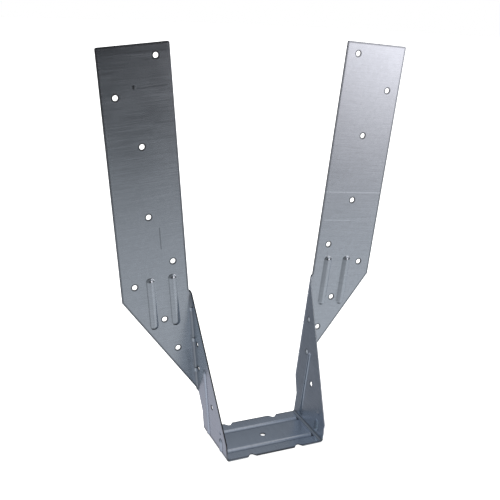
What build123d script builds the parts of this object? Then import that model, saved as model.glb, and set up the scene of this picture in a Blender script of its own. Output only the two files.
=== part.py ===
from build123d import *
import os
from math import cos, radians, sin, sqrt, tan

# Beam hanger folded from one galvanised sheet, in millimetres.
# It is seen from its front here: the joist comes from -Y and the header is behind the straps, at +Y.
# The origin is the middle of the box that holds the hanger, at the height of its lowest ribs.

# Sheet and folds
sheet = 1.0
bend_radius = 1.5

# Bucket that the joist sits in
inside_width = 91.0
depth = 66.0
back_inset = 9.0
splay = 5.2
front_knee = 15.0
back_knee = 18.8

# Straps that are nailed to the header, measured along the splayed side plate from the seat
strap_height = 347.0
strap_reach = 61.75
corner_height = 136.0
bend_top = 136.0
bend_foot = 39.0
corner_radius = 1.5

# Nail holes
hole_radius = 2.25
column_margin = 12.0
upper_drops = (9.8, 39.2, 80.2)
mid_rise = 71.5
inner_rise = 29.3
outer_rise = 12.1
rib_hole_drop = 22.7
toe_hole_drop = 52.8
right_joist_holes = ((10.8, 95.3), (16.0, 65.1), (32.2, 40.0))
left_joist_holes = ((7.9, 85.4), (6.5, 60.9), (35.4, 36.4))

# Pressed ribs
strap_rib_width = 8.6
strap_rib_height = 1.6
strap_rib_length = 49.0
strap_rib_drop = 31.0
inner_rib_margin = 14.0
outer_rib_offset = 4.0
seat_rib_width = 7.4
seat_rib_height = 1.3
seat_rib_spacing = 30.0
long_rib_top = 67.5
short_rib_top = 15.0

# Three gussets across each strap bend, and a dimple in each side plate
gusset_height = 0.8
gusset_width = 3.4
gusset_pitch = 30.0
plate_dimple_width = 5.0
plate_dimple_height = 0.7
plate_dimple_rise = 5.5

# Notches in the front and back edges of the seat
notch_spacing = 45.0
notch_width = 8.2
notch_floor = 2.0
notch_depth = 3.6

# Places that follow from the sizes above
fold_reach = bend_radius + sheet
fold_set_back = sheet * tan(radians(45 - splay / 2))
seat_top = sheet + seat_rib_height
header_y = depth / 2
strap_middle = (fold_reach + strap_reach) / 2
inner_rib = fold_reach + inner_rib_margin
outer_rib = strap_middle + outer_rib_offset
seat_middle = (back_inset + depth) / 2
rib_depths = (seat_middle - seat_rib_spacing / 2, seat_middle + seat_rib_spacing / 2)
clear = 5.0


def press_rib(start, length, width, height, caps=()):
    """Press a round-backed rib out of the sheet, with its hollow behind it.

    start lies on the hollow side, with X along the rib and Z the way it is pressed.
    caps names the ends, 0 or 1, that close in a quarter ball. An end without one is square,
    and a rib of no length with one cap is a round dimple.
    """
    outer = (width**2 / 4 + height**2) / (2 * height)
    for level, radius, inset, mode in (
        (sheet, outer, 0, Mode.ADD),
        (0, outer - sheet, sheet, Mode.SUBTRACT),
    ):
        half = sqrt(radius**2 - (radius - height) ** 2)
        first = 0 if 0 in caps else inset
        last = length if 1 in caps else length - inset
        across = Plane(start.origin, x_dir=start.y_dir, z_dir=start.x_dir)
        if last > first:
            with BuildSketch(across.offset(first)) as section:
                with BuildLine():
                    ThreePointArc((-half, level), (0, level + height), (half, level))
                    Line((half, level), (-half, level))
                make_face()
            extrude(section.sketch, amount=last - first, mode=mode)
        for end in caps:
            turn = start.z_dir if end == 0 else -start.z_dir
            arc = 180 if length > 0 else 360
            place = across.offset(end * length)
            with BuildSketch(place) as half_section:
                with BuildLine():
                    Line((0, level), (half, level))
                    RadiusArc((half, level), (0, level + height), -radius)
                    Line((0, level + height), (0, level))
                make_face()
            revolve(half_section.sketch, axis=Axis(place.origin, turn), revolution_arc=arc, mode=mode)


# One side plate and its strap, folded to a right angle and standing upright.
# X runs outwards from the plate's inner face, and Y = 0 is the header's face.
with BuildPart() as wing:
    with BuildSketch(Plane.XY.offset(fold_reach)):
        with BuildLine():
            FilletPolyline((0, -depth), (0, 0), (strap_reach, 0), radius=bend_radius + sheet)
            Line((strap_reach, 0), (strap_reach, -sheet))
            FilletPolyline((strap_reach, -sheet), (sheet, -sheet), (sheet, -depth), radius=bend_radius)
            Line((sheet, -depth), (0, -depth))
        make_face()
    extrude(amount=strap_height - fold_reach)

    # The plate's front edge slopes back to the top of the bend, and its back edge to the foot.
    with BuildSketch(Plane.YZ.offset(-clear)):
        with BuildLine():
            Polyline(
                (-depth, front_knee), (0, bend_top), (clear, bend_top), (clear, strap_height + clear),
                (-depth - clear, strap_height + clear), (-depth - clear, front_knee), close=True,
            )
        make_face()
        with BuildLine():
            Polyline(
                (-back_inset, 0), (-back_inset, back_knee), (0, bend_foot), (clear, bend_foot),
                (clear, 0), close=True,
            )
        make_face()
    extrude(amount=clear + fold_reach, mode=Mode.SUBTRACT)

    # The strap tapers from its outer corner to the foot of the bend.
    with BuildSketch(Plane.XZ.offset(-clear)):
        with BuildLine():
            Polyline(
                (strap_reach, corner_height), (fold_reach, bend_foot), (fold_reach, 0),
                (strap_reach + clear, 0), (strap_reach + clear, corner_height), close=True,
            )
        make_face()
    extrude(amount=clear + fold_reach, mode=Mode.SUBTRACT)
    fillet(edges().filter_by(Axis.Y).group_by(Axis.Z)[-1], radius=corner_radius)

    # Nail holes in three columns, and two more below among the ribs
    strap_holes = [
        (fold_reach + column_margin, strap_height - upper_drops[0]),
        (strap_reach - column_margin, strap_height - upper_drops[1]),
        (strap_middle, strap_height - upper_drops[2]),
        (strap_middle, corner_height + mid_rise),
        (fold_reach + column_margin, corner_height + inner_rise),
        (strap_reach - column_margin, corner_height + outer_rise),
        ((inner_rib + outer_rib) / 2, corner_height - rib_hole_drop),
        (inner_rib, corner_height - toe_hole_drop),
    ]
    with BuildSketch(Plane.XZ):
        with Locations(*strap_holes):
            Circle(hole_radius)
    extrude(amount=clear, both=True, mode=Mode.SUBTRACT)

    # Two ribs stand out of the strap's front face.
    strap_rib_base = corner_height - strap_rib_drop + strap_rib_width / 2
    for rib_x in (inner_rib, outer_rib):
        foot = Plane((rib_x, 0, strap_rib_base), x_dir=(0, 0, 1), z_dir=(0, -1, 0))
        press_rib(foot, strap_rib_length - strap_rib_width, strap_rib_width, strap_rib_height, (0, 1))

    # A long and a short rib stand out of the plate's outer face, in line with the seat's ribs.
    for rib_depth, rib_top in zip(rib_depths, (long_rib_top, short_rib_top)):
        foot = Plane((0, -rib_depth, fold_reach), x_dir=(0, 0, 1), z_dir=(1, 0, 0))
        rib_length = rib_top - seat_rib_width / 2 - fold_reach
        press_rib(foot, rib_length, seat_rib_width, seat_rib_height, (1,))

    # A shallow dimple above the short rib, pushed in from the plate's outer face
    dimple_height = short_rib_top + plate_dimple_rise
    outer_face = Plane((sheet, -rib_depths[1], dimple_height), x_dir=(0, 0, 1), z_dir=(-1, 0, 0))
    press_rib(outer_face, 0, plate_dimple_width, plate_dimple_height, (0,))

    # Small gussets pushed flat across the bend from its outside
    bend_middle = (bend_foot + bend_top) / 2
    dent = fold_reach * (sqrt(2) - 1) + gusset_height
    for corner, level, width, mode in (
        (sheet / 2, dent + sheet, gusset_width, Mode.ADD),
        (-clear, dent, gusset_width - 2 * sheet, Mode.SUBTRACT),
    ):
        leg = level * sqrt(2) - corner
        for step in (-1, 0, 1):
            with BuildSketch(Plane.XY.offset(bend_middle + step * gusset_pitch)) as across:
                with BuildLine():
                    Polyline((corner, -corner), (leg, -corner), (corner, -leg), close=True)
                make_face()
            extrude(across.sketch, amount=width / 2, both=True, mode=mode)


def plate_point(out, up):
    """Point of the end view, out from the plate's inner face and up along it."""
    x = inside_width / 2 + out * cos(radians(splay)) + up * sin(radians(splay))
    return x, seat_top + up * cos(radians(splay)) - out * sin(radians(splay))


with BuildPart() as beam_hanger:
    # Seat with the two folds that start the side plates
    with BuildSketch(Plane.XZ.offset(-header_y + back_inset)):
        with BuildLine():
            FilletPolyline((0, seat_top), plate_point(0, 0), plate_point(0, fold_reach), radius=bend_radius)
            Line(plate_point(0, fold_reach), plate_point(sheet, fold_reach))
            FilletPolyline(
                plate_point(sheet, fold_reach), plate_point(sheet, -fold_set_back), (0, seat_top - sheet),
                radius=bend_radius + sheet,
            )
            Line((0, seat_top - sheet), (0, seat_top))
        make_face()
        mirror(about=Plane.YZ)
    extrude(amount=depth - back_inset)

    # Notches in the seat's front and back edges
    with BuildSketch(Plane.XY.offset(seat_top)):
        for edge_y, inwards in ((-header_y, 1), (header_y - back_inset, -1)):
            with Locations((-notch_spacing / 2, edge_y), (notch_spacing / 2, edge_y)):
                Polygon(
                    (-notch_width / 2, 0), (notch_width / 2, 0), (notch_floor / 2, inwards * notch_depth),
                    (-notch_floor / 2, inwards * notch_depth), align=None,
                )
    extrude(amount=clear, both=True, mode=Mode.SUBTRACT)

    # Two ribs pressed down across the seat, and a hole in its middle
    seat_rib_length = inside_width - 2 * bend_radius
    for rib_depth in rib_depths:
        start = Plane((-seat_rib_length / 2, header_y - rib_depth, seat_top), x_dir=(1, 0, 0), z_dir=(0, 0, -1))
        press_rib(start, seat_rib_length, seat_rib_width, seat_rib_height)
    with Locations((0, header_y - seat_middle, seat_top)):
        Hole(hole_radius)

    # The two sides, leaning out by the splay
    right_fold = Location((inside_width / 2, header_y, seat_top), (0, splay, 0))
    with Locations(right_fold):
        add(wing.part)
    add(mirror(wing.part.moved(right_fold), about=Plane.YZ, mode=Mode.PRIVATE))

    # Joist holes, staggered from side to side, and a shallow dimple in each plate
    for side, joist_holes in ((1, right_joist_holes), (-1, left_joist_holes)):
        face = Plane(
            (side * inside_width / 2, header_y, seat_top), x_dir=(0, 1, 0),
            z_dir=(cos(radians(splay)), 0, -side * sin(radians(splay))),
        )
        with BuildSketch(face):
            with Locations(*[(-back, up) for back, up in joist_holes]):
                Circle(hole_radius)
        extrude(amount=clear, both=True, mode=Mode.SUBTRACT)

beam_hanger.part.label = "beam_hanger"
os.makedirs("parts", exist_ok=True)
export_step(beam_hanger.part, "parts/beam_hanger.step")
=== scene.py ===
# %% [markdown]
# A beam hanger is a saddle of galvanised sheet steel. The beam's end drops into its bucket, and two long
# straps are nailed to the header behind. The whole thing is one blank that a press has punched, ribbed and
# folded. This lesson takes that folded part as a fixed frame, gives it a smooth visible skin with eased
# edges, and spends most of its care on the zinc, because a plain grey would hide how such a sheet is made.

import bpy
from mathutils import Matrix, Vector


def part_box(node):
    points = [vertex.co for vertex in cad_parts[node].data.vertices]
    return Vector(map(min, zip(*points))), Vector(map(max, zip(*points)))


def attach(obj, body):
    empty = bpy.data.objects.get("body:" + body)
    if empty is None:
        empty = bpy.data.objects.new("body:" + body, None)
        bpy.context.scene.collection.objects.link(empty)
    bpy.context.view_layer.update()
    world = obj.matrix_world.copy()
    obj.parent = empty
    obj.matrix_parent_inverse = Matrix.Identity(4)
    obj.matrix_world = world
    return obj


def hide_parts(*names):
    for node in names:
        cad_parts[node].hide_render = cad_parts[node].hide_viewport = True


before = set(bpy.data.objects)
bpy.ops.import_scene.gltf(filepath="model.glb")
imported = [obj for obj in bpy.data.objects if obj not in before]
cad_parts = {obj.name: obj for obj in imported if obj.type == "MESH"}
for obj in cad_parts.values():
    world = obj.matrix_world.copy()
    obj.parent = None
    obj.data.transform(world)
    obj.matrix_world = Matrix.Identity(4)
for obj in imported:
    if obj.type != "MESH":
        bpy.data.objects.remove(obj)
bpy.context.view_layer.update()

# %% [markdown]
# Blender counts in metres, and a maker of sheet metal thinks in millimetres. One factor stands between the
# two, so that every size below can be written as it would be measured on the bench.

# %% Packages and the unit
from math import cos, degrees, hypot, radians, sin

import bpy
from mathutils import Matrix, Vector

MM = 0.001
low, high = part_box("beam_hanger")
print("hanger box in mm:", [round(v / MM, 1) for v in high - low])

# %% [markdown]
# The finish has to know where the folds and edges are, so a few sizes of the hanger are written down once, in
# millimetres. The side plates lean out by a few degrees, and everything above the seat is measured along that
# lean. Depths are measured from the header's face towards the joist.

# %% Sizes that the finish follows
HALF_INSIDE = 45.5
SEAT_TOP = 2.3
HEADER_FACE = 33.0
LEAN = radians(5.2)
PLATE_DEPTH, SEAT_INSET = 66.0, 9.0
FRONT_KNEE, BACK_KNEE = 15.0, 18.8
STRAP_TOP, STRAP_CORNER, STRAP_TOE = 347.0, 136.0, 39.0
STRAP_EDGE, STRAP_FOLD = 61.75, 2.5
GUSSETS = (57.5, 87.5, 117.5)
print("strap leans by", round(degrees(LEAN), 1), "degrees")

# %% [markdown]
# The photograph was taken from the left, a little above the straps' top edges. A camera can be placed by eye,
# but a match that holds along every edge needs its turn, its height, its small roll and its distance worked
# out together. They are set here as one matrix: right, up and back are the camera's own three axes.

# %% Camera
def stand_camera(turn, height, roll, target, distance, lens):
    """A camera that looks at target, turned, raised and rolled by angles in degrees."""
    a, e, r = radians(turn), radians(height), radians(roll)
    back = Vector((sin(a) * cos(e), -cos(a) * cos(e), sin(e)))
    level = Vector((cos(a), sin(a), 0))
    rise = back.cross(level)
    right = cos(r) * level + sin(r) * rise
    up = cos(r) * rise - sin(r) * level
    bpy.ops.object.camera_add()
    camera = bpy.context.object
    camera.data.lens = lens
    camera.data.sensor_width = 36
    axes = Matrix((right, up, back)).transposed().to_4x4()
    camera.matrix_world = Matrix.Translation(target + distance * back) @ axes
    return camera


between_straps = Vector((-3.38, 33.0, 167.74)) * MM
camera = stand_camera(
    turn=-24.32, height=19.25, roll=2.37, target=between_straps, distance=731.6 * MM, lens=59.78,
)
bpy.context.scene.camera = camera
bpy.context.scene.view_settings.view_transform = "Standard"
print("camera at", [round(v, 3) for v in camera.matrix_world.translation])

# %% [markdown]
# A studio floor that bends up into a wall has no line behind the object. It could be a plane and a second
# plane, but a disc whose rim is extruded up and outwards does it in one piece. Each step of the wall is how
# far it rises and how much it grows, and the last ones close it overhead.

# %% Floor that curves into a wall
FLOOR_RADIUS = 5.0
WALL_STEPS = ((0.15, 1.12), (0.45, 1.08), (0.9, 1.05), (3.0, 1.02), (5.0, 0.6), (2.0, 0.02))


def deselect_all():
    """Nothing stays selected, so that the next operator acts on its own piece alone."""
    for thing in bpy.context.selected_objects:
        thing.select_set(False)


deselect_all()
bpy.ops.mesh.primitive_circle_add(vertices=96, radius=FLOOR_RADIUS, fill_type="NGON")
floor = bpy.context.object
floor.name = "studio_floor"
bpy.ops.object.mode_set(mode="EDIT")
for rise, growth in WALL_STEPS:
    bpy.ops.mesh.extrude_region_move(TRANSFORM_OT_translate={"value": (0, 0, rise)})
    bpy.ops.transform.resize(value=(growth, growth, 1))
bpy.ops.object.mode_set(mode="OBJECT")
print("floor faces:", len(floor.data.polygons))

# %% [markdown]
# Paper in a studio is lit from all round until it is nearly white. A glow in the material gives that without a
# dozen lamps. Bare metal shows whatever stands round it, so the paper is kept out of the reflections, and the
# light that the metal sees is shaped on its own.

# %% Floor and wall finishes
def plain_paper(name, tone, glow):
    """Matt white paper of a tone, with a glow of its own that stands for the light from all round."""
    paper = bpy.data.materials.new(name)
    paper.use_nodes = True
    shader = paper.node_tree.nodes["Principled BSDF"]
    shader.inputs["Base Color"].default_value = (tone, tone, tone, 1)
    shader.inputs["Roughness"].default_value = 1.0
    shader.inputs["Specular IOR Level"].default_value = 0.0
    shader.inputs["Emission Color"].default_value = (1, 1, 1, 1)
    shader.inputs["Emission Strength"].default_value = glow
    return paper


floor.data.materials.append(plain_paper("floor_paper", tone=0.9, glow=0.80))
floor.data.materials.append(plain_paper("wall_paper", tone=0.0, glow=1.0))
for face in floor.data.polygons:
    face.material_index = int(face.center.z > 0.01)
floor.visible_glossy = False
print("wall faces:", sum(face.material_index for face in floor.data.polygons))

# %% [markdown]
# Two soft boxes light the hanger, a tall one at the right front and a wide one overhead. They give the sheen
# on the right strap and along the seat's ribs some body. A wide light with a soft edge suits rolled metal
# better than a small one, which would leave a hard spot.

# %% Soft boxes
def hang_softbox(name, place, aim, width, height, power):
    """A rectangular light at place, turned to aim, with its size in metres and its power in watts."""
    bpy.ops.object.light_add(type="AREA", location=place)
    light = bpy.context.object
    light.name = name
    light.data.shape = "RECTANGLE"
    light.data.size, light.data.size_y = width, height
    light.data.energy = power
    light.rotation_euler = (Vector(aim) - Vector(place)).to_track_quat("-Z", "Y").to_euler()
    light.visible_camera = False


hang_softbox("softbox_right", (1.6, -0.7, 0.62), (0.05, 0.0, 0.25), width=0.7, height=1.1, power=1.2)
hang_softbox("softbox_overhead", (0.0, -0.15, 1.9), (0.0, 0.0, 0.0), width=2.0, height=1.6, power=2.2)

# %% [markdown]
# Nodes can be added and linked one by one, but a formula soon fills a page that way. A small class wraps one
# socket instead, and gives it the usual signs: a product of two wires adds a Math node and returns its result.
# The formulas below then read as they would on paper.

# %% Arithmetic on nodes
class Wire:
    """A socket of a node tree. Arithmetic on it adds Math nodes, and node() adds any other node."""

    def __init__(self, tree, socket=None):
        self.tree, self.socket = tree, socket

    def node(self, kind, settings=(), inputs=(), output=0):
        """Adds a node, sets its settings, then its inputs from values or wires, and gives one output."""
        made = self.tree.nodes.new("ShaderNode" + kind)
        for name, value in dict(settings).items():
            setattr(made, name, value)
        for key, value in dict(inputs).items():
            if isinstance(value, Wire):
                self.tree.links.new(value.socket, made.inputs[key])
            else:
                made.inputs[key].default_value = value
        return Wire(self.tree, made.outputs[output])

    def math(self, operation, first, second=0.0):
        return self.node("Math", {"operation": operation}, {0: first, 1: second})

    def __add__(self, other):
        return self.math("ADD", self, other)

    def __radd__(self, other):
        return self.math("ADD", other, self)

    def __sub__(self, other):
        return self.math("SUBTRACT", self, other)

    def __rsub__(self, other):
        return self.math("SUBTRACT", other, self)

    def __mul__(self, other):
        return self.math("MULTIPLY", self, other)

    def __rmul__(self, other):
        return self.math("MULTIPLY", other, self)

    def __abs__(self):
        return self.math("ABSOLUTE", self)


def fade(value, start, end):
    """0 before start, 1 past end, and a soft step between them. Start may be the larger."""
    if start > end:
        return 1 - fade(value, end, start)
    steps = {"Value": value, "From Min": start, "From Max": end, "To Min": 0.0, "To Max": 1.0}
    return value.node("MapRange", {"interpolation_type": "SMOOTHSTEP"}, steps)


def between(value, soft_low, low, high, soft_high):
    """1 from low to high, falling softly to 0 at the outer two."""
    return fade(value, soft_low, low) * fade(value, soft_high, high)


print("signs that add a node: + - * abs")

# %% [markdown]
# Bare metal has hardly any tone of its own: it shows the room. A picture of a studio would do, but a few soft
# patches of grey, each a direction with a width, are easier to steer and need no file. Turn is measured from
# the front, with the right positive, and height from the level, both in degrees.

# %% Room measured by turn and height
world = bpy.data.worlds.new("studio_room")
bpy.context.scene.world = world
world.use_nodes = True
room = Wire(world.node_tree)
direction = room.node("TexCoord", output=0)
right, back, up = (direction.node("SeparateXYZ", {}, {0: direction}, axis) for axis in range(3))
turn = right.math("ARCTAN2", right, 0.0 - back) * degrees(1)
height = up.math("ARCSINE", up) * degrees(1)
behind = fade(abs(turn), 80, 110)
in_front = 1 - behind


def patch(turns, heights, strength):
    """A soft-edged patch of light, its four turns and four heights given as between takes them."""
    return between(turn, *turns) * between(height, *heights) * strength


print("room nodes:", len(world.node_tree.nodes))

# %% [markdown]
# The two straps face the front half of the room. The left one is dark and the right one bright only because
# they mirror different parts of it: the left sees the dim floor and wall, the right a strong key light.

# %% Front of the room
floor_front = between(height, -75, -40, -19, -11) * 0.52 * in_front
floor_front = floor_front * (1 - 0.6 * fade(turn, -30, -50)) * (1 + 0.26 * fade(turn, 18, 28))
upper_front = fade(height, 6, 26) * 0.2 * in_front
left_front = fade(turn, 4, -16) * between(height, -22, -6, 6, 26) * in_front * 0.2
key = patch((22, 34, 37, 50), (-18, 2, 4, 16), 3.05)
high_panel = patch((26, 31, 45, 60), (16, 24, 40, 50), 1.0)
print("room nodes:", len(world.node_tree.nodes))

# %% [markdown]
# The left plate's outer face and the right plate's inner one both mirror the left back corner, low down, and
# the seat mirrors the right back wall above the level. The foot of the right plate sees the left corner by
# way of the seat, and so above the level too.

# %% Left, back and ceiling of the room
to_left_back = fade(turn, -146, -158) + fade(turn, 158, 174)
left_fill = patch((-140, -122, -78, -56), (-52, -34, -8, 8), 0.31)
left_floor = patch((-166, -150, -92, -72), (-60, -46, -34, -25), 0.26)
left_back_high = patch((-170, -160, -142, -132), (12, 20, 34, 44), 0.15)
left_back_wall = to_left_back * between(height, -48, -30, 2, 22) * 0.15
floor_back = between(height, -80, -45, -34, -22) * 0.16 * to_left_back
back_wall = behind * (0.152 - 0.03 * fade(height, 0, 20) + 0.19 * fade(height, 24, 36))
ceiling = fade(height, 34, 60) * 0.14
print("room nodes:", len(world.node_tree.nodes))

# %% [markdown]
# The patches add up to one grey, and a trace of colour goes on last. The key light is warm, the back of the
# room cool, and the dim corners and the ceiling a little red, which keeps the zinc from turning green there.

# %% Sum and tint of the room
glow = 0.035 + back_wall + left_back_wall + floor_front + left_fill + left_floor + floor_back
glow = glow + key + upper_front + left_front + ceiling + high_panel + left_back_high
warm, cool = 0.1 * key, 0.09 * glow * behind
red = glow * (1 - 0.05 * behind) + warm + 0.12 * (left_back_wall + left_floor + floor_back + ceiling)
tint = room.node("CombineColor", {}, {0: red, 1: glow, 2: glow + cool - 0.25 * warm})
world.node_tree.links.new(tint.socket, world.node_tree.nodes["Background"].inputs["Color"])
print("room nodes:", len(world.node_tree.nodes))

# %% [markdown]
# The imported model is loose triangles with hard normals, right for measuring but faceted in the light. Its
# mesh is never changed, so the visible sheet starts as a copy of it. Merging the copy's doubled points joins
# the skin, and dissolving the flat triangles leaves large clean faces that a bevel can work on.

# %% Copy and join the skin
deselect_all()
cad_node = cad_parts["beam_hanger"]
folded_sheet = cad_node.copy()
folded_sheet.data = cad_node.data.copy()
folded_sheet.name = "folded_sheet"
folded_sheet.parent = None
for key_name in list(folded_sheet.keys()):
    del folded_sheet[key_name]
bpy.context.scene.collection.objects.link(folded_sheet)
folded_sheet.select_set(True)
bpy.context.view_layer.objects.active = folded_sheet
bpy.ops.object.mode_set(mode="EDIT")
bpy.ops.mesh.select_all(action="SELECT")
bpy.ops.mesh.customdata_custom_splitnormals_clear()
bpy.ops.mesh.remove_doubles(threshold=0.001 * MM)
bpy.ops.mesh.dissolve_limited(angle_limit=radians(0.3), use_dissolve_boundaries=False)
bpy.ops.object.mode_set(mode="OBJECT")
print("faces:", len(folded_sheet.data.polygons), "points:", len(folded_sheet.data.vertices))

# %% [markdown]
# A punch and a shear never leave a perfect corner: the zinc is dragged over it, and the thin rounding is what
# catches the light along every edge and round every hole. A bevel limited to steep corners gives that, and
# leaves the folds and ribs alone. It marks its new faces with a material slot of their own.

# %% Ease the punched edges
for slot_name in ("face", "eased"):
    folded_sheet.data.materials.append(bpy.data.materials.new(slot_name))
folded_sheet.data.polygons.foreach_set("material_index", [0] * len(folded_sheet.data.polygons))
eased_slot = len(folded_sheet.data.materials) - 1
bevel = folded_sheet.modifiers.new("eased_edge", "BEVEL")
bevel.width = 0.18 * MM
bevel.segments = 2
bevel.limit_method = "ANGLE"
bevel.angle_limit = radians(60)
bevel.material = eased_slot
bpy.ops.object.modifier_apply(modifier=bevel.name)
eased = [p.material_index == eased_slot for p in folded_sheet.data.polygons]
print("eased faces:", sum(eased), "of", len(eased))

# %% [markdown]
# The edges show a different surface from the faces: bare sheared steel with only a smear of zinc, and the tone
# below darkens them further as painted shade. Which faces are edges can be found without naming them. Looking
# straight into the sheet from a face, the far side is one thickness away, 1 mm, and from a cut edge it is much
# further.

# %% Find the cut edges
MORE_THAN_THE_SHEET = 1.6


def looks_through(piece, polygon):
    """How far the far side is, straight in from a face, in millimetres."""
    inwards = -polygon.normal
    hit, place, _, _ = piece.ray_cast(polygon.center + inwards * 0.02 * MM, inwards)
    return (place - polygon.center).length / MM if hit else 0.0


is_cut = [
    float(looks_through(folded_sheet, p) > MORE_THAN_THE_SHEET or eased[p.index])
    for p in folded_sheet.data.polygons
]
cut_edge = folded_sheet.data.attributes.new("cut_edge", "FLOAT", "FACE")
cut_edge.data.foreach_set("value", is_cut)
print("cut faces:", int(sum(is_cut)), "of", len(is_cut))

# %% [markdown]
# Folds and ribs are round on the real sheet and many-sided in the model. Smooth shading blends the light
# across their faces. Left alone it would also bend the light on the flats next to them, so the normals are
# weighted by area, and each large flat face keeps its own.

# %% Smooth the folds and ribs
bpy.ops.object.shade_smooth()
even = folded_sheet.modifiers.new("even_normals", "WEIGHTED_NORMAL")
even.keep_sharp = True
even.weight = 60
bpy.ops.object.modifier_apply(modifier=even.name)
print("smooth faces:", sum(p.use_smooth for p in folded_sheet.data.polygons))

# %% [markdown]
# The sheet was rolled flat long before it was folded, so its streaks run round the folds without a break. A
# pattern in plain space would slide off at each bend. Here every point is carried back to its place on the
# flat blank: how far it is from the middle of the seat along the strap, and how far from the header's edge.

# %% Places on the flat blank
zinc = bpy.data.materials.new("galvanised_sheet_steel")
zinc.use_nodes = True
mat = Wire(zinc.node_tree)
point = mat.node("TexCoord", output=3)
x_mm, y_mm, z_mm = (point.node("SeparateXYZ", {}, {0: point}, axis) * (1 / MM) for axis in range(3))
side = x_mm.math("SIGN", x_mm)
right_half = fade(side, -0.1, 0.1)
from_plate = abs(x_mm) - HALF_INSIDE
from_seat = z_mm - SEAT_TOP
outwards = from_plate * cos(LEAN) - from_seat * sin(LEAN)
upwards = from_plate * sin(LEAN) + from_seat * cos(LEAN)
along = x_mm.math("MINIMUM", abs(x_mm), HALF_INSIDE) + x_mm.math("MAXIMUM", upwards, 0.0)
depth = HEADER_FACE - y_mm
across = x_mm.math("MAXIMUM", outwards, 0.0) - depth


def strap_up(up):
    """Place along the blank of a height on a strap or plate."""
    return HALF_INSIDE + up


print("blank coordinates made with", len(zinc.node_tree.nodes), "nodes")

# %% [markdown]
# Rolled zinc has three things on it at once. Fine streaks lie across the strap, the way the coil ran. Between
# them the zinc's crystals differ a little in tone, only millimetres across on this kind of sheet. Larger,
# fainter clouds come from handling and from the bath. Each is a noise on the blank, stretched or not.

# %% Streaks, crystals and clouds
def noise_on_blank(stretch_along, stretch_across, detail, seed=0.0):
    """Noise from 0 to 1 whose grains are so many millimetres long each way on the blank."""
    spot = {0: side * along * (1 / stretch_along) + seed, 1: across * (1 / stretch_across), 2: side * 7.3}
    vector = point.node("CombineXYZ", {}, spot)
    return vector.node("TexNoise", {}, {"Vector": vector, "Scale": 1.0, "Detail": detail})


streaks = noise_on_blank(0.9, 34.0, detail=3.0)
fine_streaks = noise_on_blank(0.35, 12.0, detail=1.0, seed=40.0)
clouds = noise_on_blank(34.0, 26.0, detail=2.0, seed=11.0)
grain = noise_on_blank(0.5, 0.5, detail=1.0, seed=90.0)
CRYSTALS_PER_MM = 0.42
cell_spot = {0: side * along * CRYSTALS_PER_MM, 1: across * CRYSTALS_PER_MM, 2: side * 3.1}
cell_place = point.node("CombineXYZ", {}, cell_spot)
crystals = cell_place.node("TexVoronoi", {}, {"Vector": cell_place, "Scale": 1.0}, 1)
crystal_tone = crystals.node("SeparateColor", {}, {0: crystals}, 0)
print("patterns:", len(zinc.node_tree.nodes), "nodes so far")

# %% [markdown]
# Handling has left marks that belong to this hanger alone: a light scratch right across the right strap and a
# short one under it, a dark scrape, a speck and a faint drag line on the left one, and a stained band at the
# left strap's top edge. Each is a thin box on the blank with soft ends, kept to the front face.

# %% Marks of handling
front_face = fade(y_mm, HEADER_FACE - 0.4, HEADER_FACE - 0.6)


def stroke(on_right, up, out, soft):
    """A soft-edged box on the front face of one strap: two heights up it and two places out from its fold."""
    bottom, top = (strap_up(place) for place in up)
    inner, outer = out
    mask = between(along, bottom - soft, bottom, top, top + soft)
    mask = mask * between(across, inner - soft, inner, outer, outer + soft)
    return mask * (right_half if on_right else 1 - right_half) * front_face


stain = stroke(False, up=(STRAP_TOP - 6, STRAP_TOP + 9), out=(-5, 80), soft=1.5)
scrape = stroke(False, up=(178, 197), out=(22.7, 23.1), soft=0.5)
speck = stroke(False, up=(313.2, 315.6), out=(33.0, 34.2), soft=0.6)
drag = stroke(False, up=(313.2, 313.4), out=(6, 31), soft=0.5)
dark_marks = 0.2 * stain + 0.36 * scrape + 0.65 * speck + 0.34 * drag
scratch = stroke(True, up=(214.3, 214.9), out=(1, 62), soft=0.5)
scratch = scratch + 0.55 * stroke(True, up=(187.9, 188.5), out=(6, 32), soft=0.6)
print("marks: 4 dark and 2 light, with", len(zinc.node_tree.nodes), "nodes so far")

# %% [markdown]
# Each hole gets a ring of painted shade round it, where the hole's wall shows dark. The holes are lists of
# places on the blank: out from the plate and up on both straps, and in from the header and up on each plate.
# The ring is simply everything that lies close enough to the nearest one.

# %% Painted shade round the punched holes
STRAP_HOLES = (
    (14.5, 337.2), (49.75, 307.8), (32.1, 266.8), (32.1, 207.5),
    (14.5, 165.3), (49.75, 148.1), (26.3, 113.3), (16.5, 83.2),
)
PLATE_HOLES = {1: ((10.8, 95.3), (16.0, 65.1), (32.2, 40.0)), -1: ((7.9, 85.4), (6.5, 60.9), (35.4, 36.4))}
SEAT_HOLE = 37.5
on_strap = fade(y_mm, 28, 29) * fade(outwards, 1.1, 1.8)
line = on_strap * outwards - (1 - on_strap) * depth
either = point.node("CombineXYZ", {}, {0: along, 1: line})
sided = point.node("CombineXYZ", {}, {0: side * along, 1: line})


def away_from(place, centre_along, centre_line):
    """Millimetres on the blank from one hole's centre."""
    return place.node("VectorMath", {"operation": "DISTANCE"}, {0: place, 1: (centre_along, centre_line, 0)}, 1)


def nearest(*distances):
    """The least of some distances."""
    least = distances[0]
    for distance in distances[1:]:
        least = least.math("MINIMUM", least, distance)
    return least


ways = [away_from(sided, 0.0, -SEAT_HOLE)]
ways += [away_from(either, strap_up(up_strap), out) for out, up_strap in STRAP_HOLES]
for hand, holes in PLATE_HOLES.items():
    ways += [away_from(sided, hand * strap_up(up_plate), -back_in) for back_in, up_plate in holes]
# A ring of painted shade round every hole.
hole_shade_ring = fade(nearest(*ways), 3.6, 2.9)
print("hole places on the blank:", len(ways))
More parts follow.
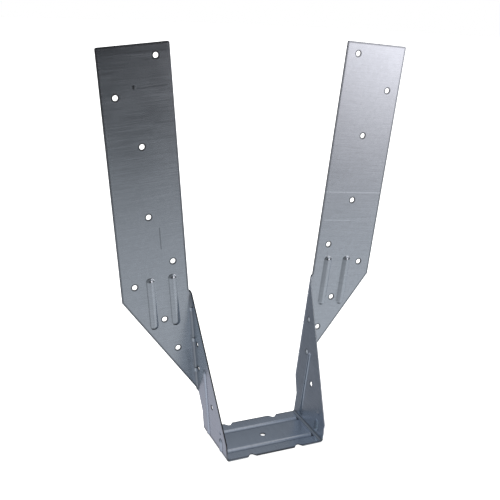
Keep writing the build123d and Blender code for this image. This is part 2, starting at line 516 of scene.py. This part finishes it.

# %% [markdown]
# A dark line one to two millimetres wide is painted along the edges of the straps, the seat and the left plate:
# painted shade where their cut edges show dark. The right plate's edges are left bright. On the blank that
# outline is taken as straight lines. The distance to each is one product and one sum, and a line is pushed far
# away where its edge has ended.

# %% Painted shade along the sheared outline
FAR = 100


def inside_of(first, second):
    """Millimetres inside an edge from first to second, each (along, line), with the sheet on its left."""
    run, rise = second[0] - first[0], second[1] - first[1]
    length = hypot(run, rise)
    return (line - first[1]) * (run / length) - (along - first[0]) * (rise / length)


corner, toe = strap_up(STRAP_CORNER), strap_up(STRAP_TOE)
front_knee, back_knee = strap_up(FRONT_KNEE), strap_up(BACK_KNEE)
strap_line = nearest(
    STRAP_EDGE - line,
    strap_up(STRAP_TOP) - along,
    inside_of((corner, STRAP_EDGE), (toe, STRAP_FOLD)),
    line - STRAP_FOLD + FAR * fade(along, corner, corner - 1),
)
plate_line = nearest(
    line + PLATE_DEPTH,
    inside_of((front_knee, -PLATE_DEPTH), (corner, 0.0)),
    inside_of((toe, 0.0), (back_knee, -SEAT_INSET)) + FAR * fade(along, back_knee, back_knee - 1),
    -SEAT_INSET - line + FAR * fade(along, back_knee - 1, back_knee),
)
outline = on_strap * strap_line + (1 - on_strap) * plate_line
right_plate = right_half * (1 - on_strap) * fade(along, HALF_INSIDE, HALF_INSIDE + 2)
# Painted shade in a line along the outline, left off the right plate.
edge_shade_line = fade(outline, 1.9, 1.0) * (1 - right_plate)
print("finish nodes so far:", len(zinc.node_tree.nodes))

# %% [markdown]
# Three small gussets stiffen each strap's fold, 30 mm apart. Each gets a small painted highlight, a little
# bright spot in a dark corner. The right plate's short rib gets a painted highlight along it too.

# %% Painted highlights on the gussets and short rib
from_gusset = nearest(*[abs(along - strap_up(gusset)) for gusset in GUSSETS])
# Painted highlights: a bright spot at each gusset and a bright band along the short rib.
gusset_highlights = fade(from_gusset, 2.0, 1.3) * fade(outwards, 3.6, 2.6) * fade(depth, 3.6, 2.6)
short_rib_highlight = fade(abs(depth - 52.2), 2.8, 1.2) * right_plate
short_rib_highlight = short_rib_highlight * between(along, strap_up(2.0), strap_up(3.5), strap_up(12.5), strap_up(15.0))
print("gussets on each side:", len(GUSSETS))

# %% [markdown]
# Where the sheet was folded the zinc has crazed, and the strap's folds and the seat's folds are rougher for it.
# The seat's folds are also darkened with painted shade, most of all on their outside, where the fold turns away
# under the seat.

# %% Crazed folds and their painted shade
strap_fold = fade(abs(outwards - 1.5), 3.0, 1.5) * fade(depth, 5.0, 2.5)
# The seat's folds darken with painted shade, more on their outside.
seat_fold = fade(abs(along - HALF_INSIDE), 2.6, 1.4)
fold_outside_shade = fade(abs(along - HALF_INSIDE - 1.0), 3.2, 2.0) * fade(outwards, 0.3, 0.7)
print("finish nodes so far:", len(zinc.node_tree.nodes))

# %% [markdown]
# Everything comes together in one metal shader. The tone is a cold middle grey that each pattern shifts by a
# few hundredths. The marks darken it and the scratches lighten it. The cut edges are darker, partly for their
# bare steel and partly as painted shade, and painted shade also darkens the rings round the holes, the line
# along the outline and the seat's folds. Painted highlights lighten the gussets and the short rib.

# %% Colour of the zinc
tone = 0.56 + 0.11 * (streaks - 0.5) + 0.1 * (fine_streaks - 0.5) + 0.04 * (clouds - 0.5)
tone = tone + 0.03 * (crystal_tone - 0.5)
cut = mat.node("Attribute", {"attribute_name": "cut_edge"}, {}, 2)
# Painted highlights on the gussets and the short rib; painted shade at the cut edges, round the holes, along
# the outline and at the seat's folds.
tone = tone * (1 + 0.26 * scratch) * (1 - dark_marks) * (1 + 0.6 * gusset_highlights)
tone = tone * (1 - cut * (0.82 - 0.6 * right_plate)) * (1 - hole_shade_ring * (0.25 + 0.41 * on_strap))
tone = tone * (1 - 0.48 * edge_shade_line) * (1 - 0.25 * seat_fold - 0.42 * fold_outside_shade) * (1 + 0.7 * short_rib_highlight)
colour = mat.node("CombineColor", {}, {0: tone * 0.90, 1: tone, 2: tone * 1.13})
print("finish nodes so far:", len(zinc.node_tree.nodes))

# %% [markdown]
# Gloss says more about zinc than colour does. The streaks and clouds vary it, and cut edges and folds are
# duller. The relief is kept tiny: on bright metal a strong bump would look like hammering.

# %% Gloss and relief
roughness = 0.24 + 0.08 * (streaks - 0.5) + 0.05 * (clouds - 0.5) + 0.14 * cut
roughness = roughness + 0.16 * (seat_fold + strap_fold)
relief = streaks * 0.6 + fine_streaks * 0.3 + grain * 0.1
bump = mat.node("Bump", {}, {"Strength": 0.1, "Distance": 0.03 * MM, "Height": relief})
shader = zinc.node_tree.nodes["Principled BSDF"]
shader.inputs["Metallic"].default_value = 1.0
for name, wire in {"Base Color": colour, "Roughness": roughness, "Normal": bump}.items():
    zinc.node_tree.links.new(wire.socket, shader.inputs[name])
print("finish nodes:", len(zinc.node_tree.nodes))

# %% [markdown]
# The slots that the bevel used have done their work, so the finished sheet carries its one zinc alone. It then
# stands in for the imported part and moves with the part's only body.

# %% Dress the sheet and tie it to its body
folded_sheet.data.materials.clear()
folded_sheet.data.materials.append(zinc)
folded_sheet.data.polygons.foreach_set("material_index", [0] * len(folded_sheet.data.polygons))
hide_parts("beam_hanger")
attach(folded_sheet, "root")
print("visible piece:", folded_sheet.name)
